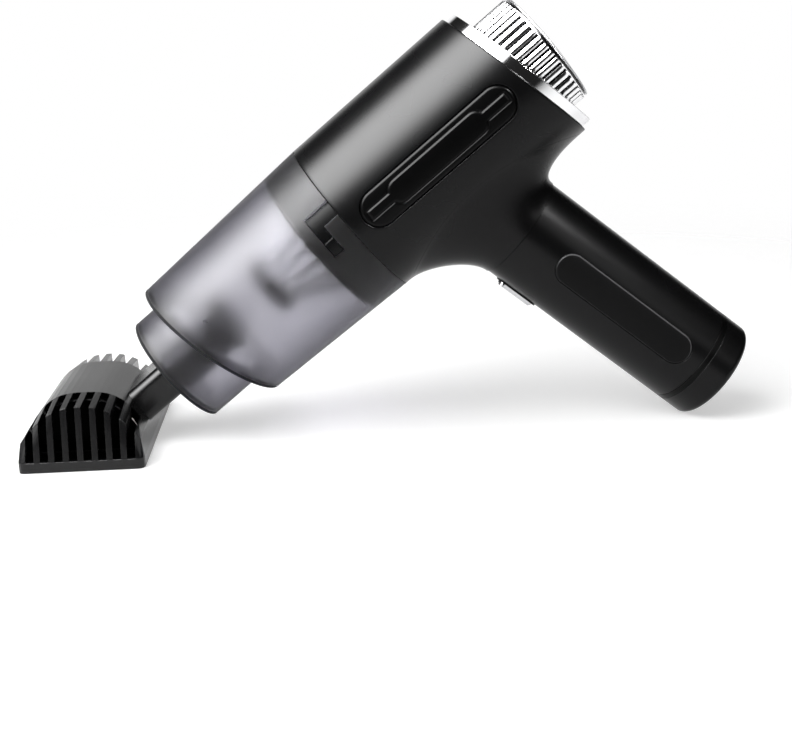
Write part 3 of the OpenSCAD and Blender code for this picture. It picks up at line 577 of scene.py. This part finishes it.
def new_piece(name, points, quads, finish, body, nodes, crease=35.0):
    """A mesh object from points and quads: doubles merged, faces outwards, smooth up to a crease."""
    double, sliver = 2e-6, 1e-7
    mesh = bpy.data.meshes.new(name)
    mesh.from_pydata(points.tolist(), [], quads.tolist())
    work = bmesh.new()
    work.from_mesh(mesh)
    bmesh.ops.remove_doubles(work, verts=work.verts, dist=double)
    bmesh.ops.dissolve_degenerate(work, edges=work.edges, dist=sliver)
    bmesh.ops.recalc_face_normals(work, faces=work.faces)
    work.to_mesh(mesh)
    work.free()
    mesh.polygons.foreach_set("use_smooth", np.ones(len(mesh.polygons), bool))
    mesh.set_sharp_from_angle(angle=math.radians(crease))
    mesh.materials.append(bpy.data.materials[finish])
    piece = bpy.data.objects.new(name, mesh)
    bpy.context.scene.collection.objects.link(piece)
    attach(piece, body)
    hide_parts(*nodes)


def pocket_patch(loop, radius, pocket):
    """Skin from a window's edge into a stadium pocket of a tube, ring by ring.

    loop is the window's edge as rows (s along, t across) from the pocket's middle. Each point has
    its nearest point c on the stadium's middle line and a way g out of it, and ring k lies at
    c + g * (half width + offset k), sunk by depth k: first level, then round the rim, down the wall
    and over the floor to the middle line.
    """
    length, width, depth, rim = pocket
    half = width / 2
    c = np.stack([np.clip(loop[:, 0], half - length / 2, length / 2 - half), np.zeros(len(loop))], 1)
    g = loop - c
    g /= np.linalg.norm(g, axis=1, keepdims=True)
    turn = np.radians((0.0, 18.0, 36.0, 54.0, 72.0, 90.0))
    ground = half * np.array((0.0, -0.6, -1.0))
    offset = np.concatenate([rim - rim * np.sin(turn), ground])
    sink = np.concatenate([rim - rim * np.cos(turn), np.full(len(ground), depth)])
    near = c + g * (half + rim)
    levels = 4
    share = np.linspace(0.0, 1.0, levels, endpoint=False)[:, None, None]
    level = loop + share * (near - loop)
    rings = np.concatenate([level, c + g * (half + offset[:, None, None])])
    down = np.concatenate([np.zeros(levels), sink])[:, None]
    s, t = rings[..., 0], rings[..., 1]
    return np.stack([s, t, np.sqrt(radius ** 2 - t ** 2) - down], -1)


def pocketed_tube(radius, bore, along, shear, ends, pockets, edge, steps=144):
    """A closed tube, X along its axis, with stadium pockets let into its skin.

    The outside is radius at (along + shear * radius * cos(angle), angle); its ends are rounded by
    edge, and a plain bore closes it. ends are the shears of the two ends. Each pocket is
    (place along, angle in degrees, half window in degrees, first line, last line, stadium).
    """
    angle = np.arange(steps) * 2 * np.pi / steps
    turn = np.radians((30.0, 60.0, 90.0))
    low, high = along[0] - edge, along[-1] + edge
    z = np.concatenate([along, high - edge + edge * np.sin(turn), [high, low],
                        low + edge - edge * np.sin(turn[::-1])])
    r = np.concatenate([np.full(len(along), radius), radius - edge + edge * np.cos(turn), [bore, bore],
                        radius - edge + edge * np.cos(turn[::-1])])
    cap = len(turn) + 1
    k = np.concatenate([shear, np.full(cap, ends[1]), np.full(cap, ends[0])])
    rows = len(z)
    place = z[:, None] + k[:, None] * r[:, None] * np.cos(angle)
    skin = np.stack([place, r[:, None] * np.cos(angle), r[:, None] * np.sin(angle)], -1)
    quads = grid_quads(rows, steps, close_rows=True).reshape(rows, steps, 4)
    keep = np.ones((rows, steps), bool)
    points, faces = [skin.reshape(-1, 3)], []
    count = rows * steps
    for middle, degrees, window, first, last, stadium in pockets:
        centre = math.radians(degrees)
        j0 = round((degrees - window) / 360 * steps)
        j1 = round((degrees + window) / 360 * steps)
        cols = np.arange(j0, j1 + 1) % steps
        keep[first:last, cols[:-1]] = False
        ring_i = np.concatenate([np.full(len(cols) - 1, first), np.arange(first, last),
                                 np.full(len(cols) - 1, last), np.arange(last, first, -1)])
        ring_j = np.concatenate([cols[:-1], np.full(last - first, cols[-1]),
                                 cols[:0:-1], np.full(last - first, cols[0])])
        loop = np.stack([place[ring_i, ring_j] - middle, radius * np.sin(angle[ring_j] - centre)], 1)
        patch = pocket_patch(loop, radius, stadium)
        s, t, out = patch[..., 0], patch[..., 1], patch[..., 2]
        points.append(np.stack([middle + s, out * math.cos(centre) - t * math.sin(centre),
                                out * math.sin(centre) + t * math.cos(centre)], -1).reshape(-1, 3))
        faces.append(grid_quads(*patch.shape[:2], start=count))
        count += patch.shape[0] * patch.shape[1]
    return np.concatenate(points), np.concatenate([quads[keep].reshape(-1, 4), *faces])


def stadium_pad(size, radius, seat, edge, relief, fine=81):
    """A pad with a stadium outline on a cylinder: rows along, out of the side, across.

    A point of the top is at (s, q * W(s)), W being the outline's half width; its radius is the
    cylinder's, less the rounding of the outline's edge, plus relief(s, t). The underside is flat.
    """
    length, width = size
    half, straight = width / 2, (length - width) / 2
    end_lines, middle_lines = 22, 150
    bend = np.sin(np.linspace(0.0, np.pi / 2, end_lines))
    s = np.concatenate([-straight - half * bend[::-1],
                        np.linspace(-straight, straight, middle_lines)[1:-1], straight + half * bend])
    q = np.sin(np.linspace(-np.pi / 2, np.pi / 2, fine))
    wide = np.sqrt(np.maximum(half ** 2 - np.maximum(np.abs(s) - straight, 0.0) ** 2, 0.0))
    t = q[:, None] * wide
    s = np.broadcast_to(s, t.shape)
    inside = half - np.hypot(np.maximum(np.abs(s) - straight, 0.0), t)
    short = np.clip(edge - inside, 0.0, edge)
    drop = edge - np.sqrt(edge ** 2 - short ** 2)
    top = np.sqrt((radius - drop + relief(s, t)) ** 2 - t ** 2)
    under = np.stack([s, np.full_like(s, seat), t], -1)
    skin = np.concatenate([np.stack([s, top, t], -1), under[::-1]])
    return skin.reshape(-1, 3), grid_quads(*skin.shape[:2], close_rows=True, close_cols=False)


def neck_skin(form, inset, foot_out, turns=144, rings=36):
    """Neck between the barrel and the handle's seam, in the barrel's frame.

    Each rib is a cubic curve from a point of the seam's circle to a point of a foot that lies on
    the barrel, leaving along the handle and arriving along the barrel's skin.
    """
    reach, margin, spread = 0.008, 0.0012, math.radians(56.0)
    c, s = math.cos(form.rake), math.sin(form.rake)
    down, back, across = np.array((s, 0.0, -c)), np.array((c, 0.0, s)), np.array((0.0, 1.0, 0.0))
    a = np.linspace(0.0, 2 * np.pi, turns, endpoint=False)[:, None]
    seam = (np.array((form.handle_u, 0.0, 0.0)) + form.neck_len * down
            + (form.neck_r - inset) * (np.cos(a) * back + np.sin(a) * across))
    mid = form.handle_u + form.barrel_r * math.tan(form.rake)
    rear = form.body_len + form.barrel_r * math.tan(form.slant) - margin
    run = np.where(np.cos(a) > 0, rear - mid, mid - margin)
    u = mid + run * np.cos(a)
    q = spread * np.sin(a)
    radius = form.barrel_r + foot_out

    def on_barrel(u, q, r):
        """The barrel's point at u and angle q from the underside."""
        return np.concatenate([u, r * np.sin(q), -r * np.cos(q)], 1)

    foot = on_barrel(u, q, radius - inset)
    step_u, step_q = 0.001, math.radians(2.0)
    slope = on_barrel(u + step_u * np.cos(a), q + step_q * np.sin(a), form.barrel_r)
    slope = slope - on_barrel(u, q, form.barrel_r)
    slope /= np.linalg.norm(slope, axis=1, keepdims=True)
    t = np.linspace(0.0, 1.0, rings + 1)[:, None, None]
    return ((1 - t) ** 3 * seam + 3 * (1 - t) ** 2 * t * (seam - reach * down)
            + 3 * (1 - t) * t ** 2 * (foot - reach * slope) + t ** 3 * foot), slope


def smooth_step(x, low, high):
    """0 below low, 1 above high, and a smooth cubic between."""
    t = np.clip((x - low) / (high - low), 0.0, 1.0)
    return t * t * (3.0 - 2.0 * t)


class VACUUM_OT_body(bpy.types.Operator):
    """Makes the barrel, with a pocket in each side, and the neck of the handle"""

    bl_idname = "vacuum.body"
    bl_label = "Body"

    def execute(self, context):
        form = form_of()
        e, long = form.edge, form.body_len
        front, rear, lines = 0.003, 0.0805, 32
        along = np.concatenate([[e, 0.5 * front], np.linspace(front, rear, lines),
                                [long - 2.5 * e, long - e]])
        lean = math.tan(form.slant)
        shear = smooth_step(along, 0.0, long) * lean
        pocket_depth, pocket_rim, window, first = 0.0014, 0.0003, 22.5, 2
        stadium = (*form.inlay, pocket_depth, pocket_rim)
        last = first + lines - 1
        pockets = [(0.5 * long, side, window, first, last, stadium) for side in (90.0, 270.0)]
        tube, quads = pocketed_tube(form.barrel_r, form.barrel_r - form.body_wall, along, shear,
                                    (0.0, lean), pockets, e)
        barrel = np.stack([tube[:, 0], tube[:, 2], -tube[:, 1]], 1)
        proud, hem_run, hem_sink = 0.00002, 0.0008, 0.0006
        outer, slope = neck_skin(form, 0.0, proud)
        hem = outer[-1] + slope * hem_run
        hem[:, 1:] *= (form.barrel_r - hem_sink) / np.linalg.norm(hem[:, 1:], axis=1, keepdims=True)
        inner, _ = neck_skin(form, form.body_wall, 0.0)
        neck = np.concatenate([outer, hem[None], inner[::-1]])
        neck_quads = grid_quads(*neck.shape[:2], start=len(barrel), close_rows=True)
        points = placed(np.concatenate([barrel, neck.reshape(-1, 3)]), barrel_frame())
        new_piece("body_skin", points, np.concatenate([quads, neck_quads]), "black satin plastic", "body",
                  ["body_shell"])
        return {"FINISHED"}


class VACUUM_OT_inlays(bpy.types.Operator):
    """Makes the panel in each side of the barrel, with its island and two ribs"""

    bl_idname = "vacuum.inlays"
    bl_label = "Inlays"

    def execute(self, context):
        form = form_of()
        reveal, proud, seat, rounding = 0.00025, 0.00035, 0.0013, 0.0012
        size = [v - 2 * reveal for v in form.inlay]

        def relief(s, t):
            """Raised inside the island's stadium and the ribs' strip, with a groove round them."""
            rise, flank, rib_gap = 0.00018, 0.0002, 0.003
            groove_off, groove_w, groove_deep = 0.00055, 0.0003, 0.0003
            long, wide = form.island
            island = np.hypot(np.maximum(np.abs(s) - (long - wide) / 2, 0.0), t) - wide / 2
            rib = np.maximum(np.abs(t) - form.rib_w / 2, np.abs(s) - (size[0] / 2 - rib_gap))
            out = np.minimum(island, rib)
            groove = np.exp(-((out - groove_off) / groove_w) ** 2)
            return rise * smooth_step(-out, -flank, flank) - groove_deep * groove

        points, quads = stadium_pad(size, form.barrel_r + proud, form.barrel_r - seat, rounding, relief,
                                    fine=161)
        for side, name in ((-1, "left"), (1, "right")):
            local = np.stack([0.5 * form.body_len + points[:, 0], side * points[:, 1], points[:, 2]], 1)
            new_piece(f"inlay_{name}", placed(local, barrel_frame()), quads, "panel plastic", "body",
                      [f"side_inlay_{name}"], crease=50.0)
        return {"FINISHED"}


class VACUUM_OT_crown(bpy.types.Operator):
    """Makes the finned crown behind the ring and the dome on it"""

    bl_idname = "vacuum.crown"
    bl_label = "Crown"

    def execute(self, context):
        form = form_of()
        self.fins(form)
        self.dome(form)
        return {"FINISHED"}

    @staticmethod
    def fins(form):
        """Skin at radius R - bulge * x^2 over a fin, R - depth in a slot, from the ring to the groove."""
        pitch = 2 * np.pi * form.crown_r / form.fins
        half, flank = 0.5 * (1.0 - form.fin_slot / pitch), 0.02
        bulge, depth, wall = 0.00045, 0.0022, 0.0034
        groove_h, groove_r, lip = 0.0012, 0.0223, 0.0009
        # Foot hidden in the ring, plain collar over it, plain band at the top, run-out of the slots.
        sole, collar, band, bend = 0.001, 0.0008, 0.0006, 0.0003
        lines, fin_lines = 8, 9
        over = np.linspace(-1.0, 1.0, fin_lines)
        across = np.concatenate([[-0.5, -half - flank], half * over, [half + flank]])
        sunk = np.concatenate([[depth, depth], bulge * over ** 2, [depth]])
        angle = ((np.arange(form.fins)[:, None] + across) * 2 * np.pi / form.fins).ravel()
        sunk = np.tile(sunk, form.fins)
        level = np.ones(len(angle))
        foot = form.body_len - form.crown_r * np.cos(angle) * math.tan(form.slant)
        start, top = foot + form.ring_t + collar, form.crown_top - groove_h
        ends = top - band
        share = np.linspace(0.0, 1.0, lines)[:, None]
        inside = np.stack([top * level, (top + lip) * level, (top + lip) * level, foot + sole])
        u = np.concatenate([np.stack([foot + sole, start - bend]), start + share * (ends - start),
                            np.stack([(ends + bend) * level, top * level]), inside])
        deep = np.concatenate([np.zeros(2), np.ones(lines), np.zeros(2)])[:, None] * sunk
        bore = form.crown_r - wall
        inside_r = np.array((groove_r, groove_r, bore, bore))[:, None] * level
        r = np.concatenate([form.crown_r - deep, inside_r])
        skin = np.stack([u, r * np.sin(angle), r * np.cos(angle)], -1)
        new_piece("crown_fins", placed(skin.reshape(-1, 3), barrel_frame()),
                  grid_quads(*skin.shape[:2], close_rows=True), "finned plating", "body",
                  ["exhaust_crown"], crease=40.0)

    @staticmethod
    def dome(form):
        """A turned lens: flat below, a rounded rim, and a top that falls with the square of the radius."""
        foot, foot_r, start_r, rings, turns = 0.0004, 0.0239, 0.0236, 24, 128
        # Underside and rim: height over the crown's rim, and radius.
        edge = np.array([(-0.0003, 0.0), (-0.0003, 0.0234), (-0.00025, 0.02375),
                         (-0.00005, 0.024), (0.0002, 0.02405), (0.00042, 0.0239)])
        lens_r = np.linspace(start_r, 0.0, rings)
        lens = foot + (form.dome - foot) * (1.0 - (lens_r / foot_r) ** 2)
        u = form.crown_top + np.concatenate([edge[:, 0], lens])[:, None]
        r = np.concatenate([edge[:, 1], lens_r])[:, None]
        a = np.linspace(0.0, 2 * np.pi, turns, endpoint=False)
        skin = np.stack([u + 0.0 * a, r * np.sin(a), r * np.cos(a)], -1)
        new_piece("crown_dome", placed(skin.reshape(-1, 3), barrel_frame()),
                  grid_quads(*skin.shape[:2]), "dome plating", "body", ["crown_cap"])


class VACUUM_OT_pads(bpy.types.Operator):
    """Makes the soft pads in the handle's sides"""

    bl_idname = "vacuum.pads"
    bl_label = "Grip pads"

    def execute(self, context):
        form = form_of()
        play, proud, seat, rounding = 0.0003, 0.0002, 0.0012, 0.0009
        size = [v - play for v in form.pad]
        points, quads = stadium_pad(size, form.handle_r + proud, form.handle_r - seat, rounding,
                                    lambda s, t: np.zeros_like(s))
        for side, name in ((-1, "left"), (1, "right")):
            local = np.stack([points[:, 2], side * points[:, 1], form.pad_z + points[:, 0]], 1)
            new_piece(f"pad_{name}", placed(local, handle_frame()), quads, "pad rubber", "body",
                      [f"grip_pad_{name}"], crease=50.0)
        return {"FINISHED"}


class VACUUM_OT_stage(bpy.types.Operator):
    """Sets up the camera, the soft boxes, the world and the floor"""

    bl_idname = "vacuum.stage"
    bl_label = "Stage"

    def execute(self, context):
        scene, set_up = context.scene, context.scene.vacuum_stage
        scene.view_settings.view_transform = "Standard"
        self.camera(scene, set_up)
        aim = Vector((0.0, 0.0, 0.09))
        above_left, above_right = (-0.56, -0.37, 0.74), (0.60, -0.42, 0.68)
        low_right = (0.69, -0.67, 0.30)
        # Name, way from the aim, distance, side, power, and whether matt surfaces get its light.
        for name, way, far, size, power, on_matt in (
                ("key box", above_left, 0.9, 1.5, set_up.key, True),
                ("sheen card", above_left, 0.88, 1.5, set_up.sheen, False),
                ("fill box", low_right, 0.96, 0.5, set_up.fill, True),
                ("streak card", above_right, 0.9, 0.3, set_up.streak, False)):
            self.soft_box(name, aim, way, far, size, power).visible_diffuse = on_matt
        self.world(scene, set_up)
        self.floor(set_up)
        return {"FINISHED"}

    @staticmethod
    def camera(scene, set_up):
        """A camera that looks along +Y, turned by yaw, pitch and roll; the focal length is in pixels."""
        lens = bpy.data.cameras.new("camera")
        lens.sensor_width = 36.0
        lens.lens = set_up.focal / PHOTO_W * lens.sensor_width
        lens.clip_start, lens.clip_end = 0.01, 50.0
        eye = bpy.data.objects.new("camera", lens)
        aim = Euler((math.pi / 2 - set_up.pitch, 0.0, -set_up.yaw)).to_matrix()
        eye.matrix_world = (Matrix.Translation(set_up.eye)
                            @ (aim @ Matrix.Rotation(set_up.roll, 3, "Z")).to_4x4())
        scene.collection.objects.link(eye)
        scene.camera = eye

    @staticmethod
    def soft_box(name, aim, way, far, size, power):
        """A square area lamp, far from the aim along way, that faces the aim and fades to its edge."""
        lamp = bpy.data.lights.new(name, "AREA")
        lamp.size, lamp.energy = size, power
        lamp.use_nodes = True
        tree = lamp.node_tree
        where = tree.nodes.new("ShaderNodeNewGeometry")
        # The lamp's own square runs from 0 to 1; this puts its middle at 0.
        centred = add(tree, "ShaderNodeVectorMath", operation="MULTIPLY_ADD")
        centred.inputs[1].default_value = (2.0, 2.0, 0.0)
        centred.inputs[2].default_value = (-1.0, -1.0, 0.0)
        off = add(tree, "ShaderNodeVectorMath", operation="LENGTH")
        bright, rim = 0.2, 1.0
        fade = ramp(tree, bright, rim, 1.0, 0.0)
        link(tree, where, "Parametric", centred, 0)
        link(tree, centred, 0, off, 0)
        link(tree, off, "Value", fade, "Value")
        link(tree, fade, "Result", tree.nodes["Emission"], "Strength")
        box = bpy.data.objects.new(name, lamp)
        out = Vector(way).normalized()
        box.location = aim + out * far
        box.rotation_mode = "QUATERNION"
        box.rotation_quaternion = out.to_track_quat("Z", "Y")
        bpy.context.scene.collection.objects.link(box)
        return box

    @staticmethod
    def world(scene, set_up):
        """White to the camera; gloss and glass see a white wall behind the object in a dim room."""
        world = bpy.data.worlds.new("studio")
        world.use_nodes = True
        tree = world.node_tree
        shade = tree.nodes["Background"]
        shade.inputs["Color"].default_value = (1.0, 1.0, 1.0, 1.0)
        path = tree.nodes.new("ShaderNodeLightPath")
        way = tree.nodes.new("ShaderNodeTexCoord")
        along = add(tree, "ShaderNodeVectorMath", operation="DOT_PRODUCT")
        to_wall = (0.03, 0.99, -0.05)
        along.inputs[1].default_value = to_wall
        wall_edge, wall_full = 0.78, 0.93
        wall = ramp(tree, wall_edge, wall_full, set_up.room)
        shiny = joined(tree, path, "Is Glossy Ray", path, "Is Transmission Ray", "MAXIMUM")
        matt = add(tree, "ShaderNodeMix", data_type="FLOAT")
        matt.inputs[VALUE_A].default_value = set_up.ambient
        seen = add(tree, "ShaderNodeMix", data_type="FLOAT")
        seen.inputs[VALUE_B].default_value = 1.0
        link(tree, way, "Generated", along, 0)
        link(tree, along, "Value", wall, "Value")
        link(tree, shiny, 0, matt, 0)
        link(tree, wall, "Result", matt, VALUE_B)
        link(tree, path, "Is Camera Ray", seen, 0)
        link(tree, matt, 0, seen, VALUE_A)
        link(tree, seen, 0, shade, "Strength")
        scene.world = world

    @staticmethod
    def floor(set_up):
        """A round pale floor, in rings that crowd to its middle, that fades into the white around it."""
        radius, rings, turns, drop = 1.2, 24, 96, 0.0002
        crowding, solid, gone = 1.5, 0.2, 0.6
        r = np.linspace(0.0, 1.0, rings + 1)[1:, None] ** crowding * radius
        a = np.linspace(0.0, 2 * np.pi, turns, endpoint=False)[None, :]
        rim = np.stack([r * np.cos(a), r * np.sin(a), np.zeros_like(r * a)], -1).reshape(-1, 3)
        verts = np.vstack([[[0.0, 0.0, 0.0]], rim])
        quads = grid_quads(rings, turns, start=1)[:, ::-1]
        fan = np.stack([np.arange(turns), (np.arange(turns) + 1) % turns], -1) + 1
        faces = quads.tolist() + [[0, *pair] for pair in fan.tolist()]
        mesh = bpy.data.meshes.new("floor")
        mesh.from_pydata(verts.tolist(), [], faces)
        plane = bpy.data.objects.new("floor", mesh)
        plane.location.z = -drop
        bpy.context.scene.collection.objects.link(plane)
        mat, tree, shader = plain_material("pale floor", set_up.floor, {
            "Roughness": 0.7, "Specular IOR Level": 0.1, "Emission Color": (1.0, 1.0, 1.0, 1.0)})
        path = tree.nodes.new("ShaderNodeLightPath")
        direct = joined(tree, path, "Is Camera Ray", path, "Is Glossy Ray", "MAXIMUM")
        seen = joined(tree, direct, 0, path, "Is Transmission Ray", "MAXIMUM")
        lift = add(tree, "ShaderNodeMath", operation="MULTIPLY")
        lift.inputs[1].default_value = set_up.lift
        link(tree, seen, 0, lift, 0)
        link(tree, lift, 0, shader, "Emission Strength")
        where = tree.nodes.new("ShaderNodeTexCoord")
        far = add(tree, "ShaderNodeVectorMath", operation="LENGTH")
        fade = ramp(tree, solid, gone)
        clear = tree.nodes.new("ShaderNodeBsdfTransparent")
        mix = tree.nodes.new("ShaderNodeMixShader")
        link(tree, where, "Object", far, 0)
        link(tree, far, "Value", fade, "Value")
        link(tree, fade, "Result", mix, "Fac")
        link(tree, shader, "BSDF", mix, 1)
        link(tree, clear, "BSDF", mix, 2)
        link(tree, mix, 0, tree.nodes["Material Output"], "Surface")
        mesh.materials.append(mat)


class VACUUM_PT_panel(bpy.types.Panel):
    """Lists the steps and the settings in the 3D view's sidebar"""

    bl_idname = "VACUUM_PT_panel"
    bl_label = "Vacuum cleaner"
    bl_space_type = "VIEW_3D"
    bl_region_type = "UI"
    bl_category = "Vacuum"

    def draw(self, context):
        for step in STEPS:
            self.layout.operator(step.bl_idname)
        for settings in (context.scene.vacuum_finish, context.scene.vacuum_form,
                         context.scene.vacuum_stage):
            column = self.layout.column()
            for key in settings.__annotations__:
                column.prop(settings, key)


STEPS = (VACUUM_OT_stage, VACUUM_OT_finishes, VACUUM_OT_body, VACUUM_OT_inlays,
         VACUUM_OT_crown, VACUUM_OT_pads)
CLASSES = (VacuumFinish, VacuumForm, VacuumStage, *STEPS, VACUUM_PT_panel)


def register():
    """Registers the classes and hangs the settings on the scene."""
    for cls in CLASSES:
        bpy.utils.register_class(cls)
    bpy.types.Scene.vacuum_finish = PointerProperty(type=VacuumFinish)
    bpy.types.Scene.vacuum_form = PointerProperty(type=VacuumForm)
    bpy.types.Scene.vacuum_stage = PointerProperty(type=VacuumStage)


def unregister():
    """Takes the settings and the classes away again."""
    del bpy.types.Scene.vacuum_stage
    del bpy.types.Scene.vacuum_form
    del bpy.types.Scene.vacuum_finish
    for cls in reversed(CLASSES):
        bpy.utils.unregister_class(cls)


def main():
    """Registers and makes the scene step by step."""
    register()
    bpy.ops.vacuum.stage()
    bpy.ops.vacuum.finishes()
    bpy.ops.vacuum.body()
    bpy.ops.vacuum.inlays()
    bpy.ops.vacuum.crown()
    bpy.ops.vacuum.pads()


if __name__ == "__main__":
    main()
